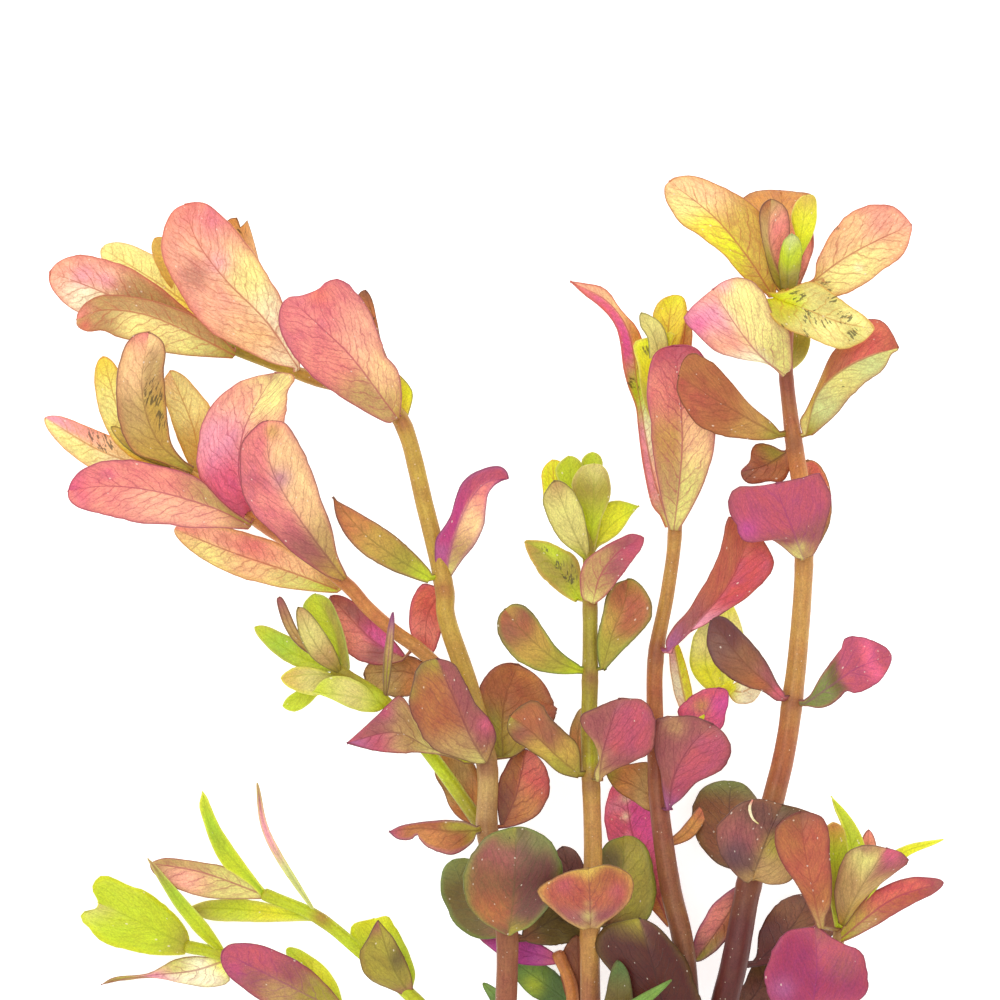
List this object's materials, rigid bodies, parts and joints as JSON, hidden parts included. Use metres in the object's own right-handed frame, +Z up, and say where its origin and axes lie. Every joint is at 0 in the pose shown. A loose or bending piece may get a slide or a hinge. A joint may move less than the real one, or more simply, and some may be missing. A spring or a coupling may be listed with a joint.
{
  "type": "aquarium rotala plant",
  "caption": "Clump of a small aquarium stem plant, laid flat: slender stems with paired oval leaves in orange, pink and lime, joined by a short creeping stem.",
  "frame": {"origin": "centre of the bounding box's base, on the surface that the plant lies on", "axes": "+Z up from the surface to the top leaves, +Y along the stems from the cut creeping stem to the tips, +X to the right with the plant seen from above"},
  "size_m": [0.0898, 0.095, 0.0188],
  "materials": {
    "skin_green": "satin",
    "skin_lime": "satin",
    "skin_magenta": "satin",
    "skin_maroon": "satin",
    "skin_olive": "satin",
    "skin_peach": "satin",
    "skin_pink": "satin",
    "skin_red": "satin",
    "skin_rose": "satin",
    "skin_rust": "satin",
    "skin_stem": "satin",
    "skin_yellow": "satin"
  },
  "bodies": {
    "root": {"branch_left": "skin_stem", "creeping_stem": "skin_rust", "leaf_branch_01": "skin_red", "leaf_branch_02": "skin_rust", "leaf_branch_03": "skin_rose", "leaf_branch_04": "skin_pink", "leaf_branch_05": "skin_pink", "leaf_branch_06": "skin_peach", "leaf_branch_07": "skin_rust", "leaf_inner_01": "skin_maroon", "leaf_inner_02": "skin_pink", "leaf_inner_03": "skin_rose", "leaf_inner_04": "skin_red", "leaf_inner_05": "skin_pink", "leaf_inner_06": "skin_peach", "leaf_left_01": "skin_green", "leaf_left_02": "skin_maroon", "leaf_left_03": "skin_rust", "leaf_left_04": "skin_rose", "leaf_left_05": "skin_rose", "leaf_left_06": "skin_rust", "leaf_left_07": "skin_rose", "leaf_left_08": "skin_olive", "leaf_left_09": "skin_magenta", "leaf_left_10": "skin_pink", "leaf_left_11": "skin_peach", "leaf_left_12": "skin_peach", "leaf_left_13": "skin_peach", "leaf_middle_01": "skin_rose", "leaf_middle_02": "skin_green", "leaf_middle_03": "skin_rose", "leaf_middle_04": "skin_rust", "leaf_middle_05": "skin_olive", "leaf_middle_06": "skin_olive", "leaf_middle_07": "skin_pink", "leaf_middle_08": "skin_lime", "leaf_right_01": "skin_maroon", "leaf_right_02": "skin_maroon", "leaf_right_03": "skin_maroon", "leaf_right_04": "skin_rust", "leaf_right_05": "skin_magenta", "leaf_right_06": "skin_magenta", "leaf_right_07": "skin_red", "leaf_right_08": "skin_rust", "leaf_right_09": "skin_pink", "leaf_right_10": "skin_yellow", "leaf_right_11": "skin_peach", "leaf_right_12": "skin_peach", "leaf_shoot_01": "skin_magenta", "leaf_shoot_02": "skin_red", "runner_lower": "skin_olive", "runner_upper": "skin_olive", "shoot_green": "skin_lime", "shoot_pale": "skin_yellow", "shoot_right": "skin_olive", "stem_inner": "skin_stem", "stem_left": "skin_stem", "stem_middle": "skin_stem", "stem_right": "skin_stem", "stem_short": "skin_rust"}
  },
  "joints": []
}
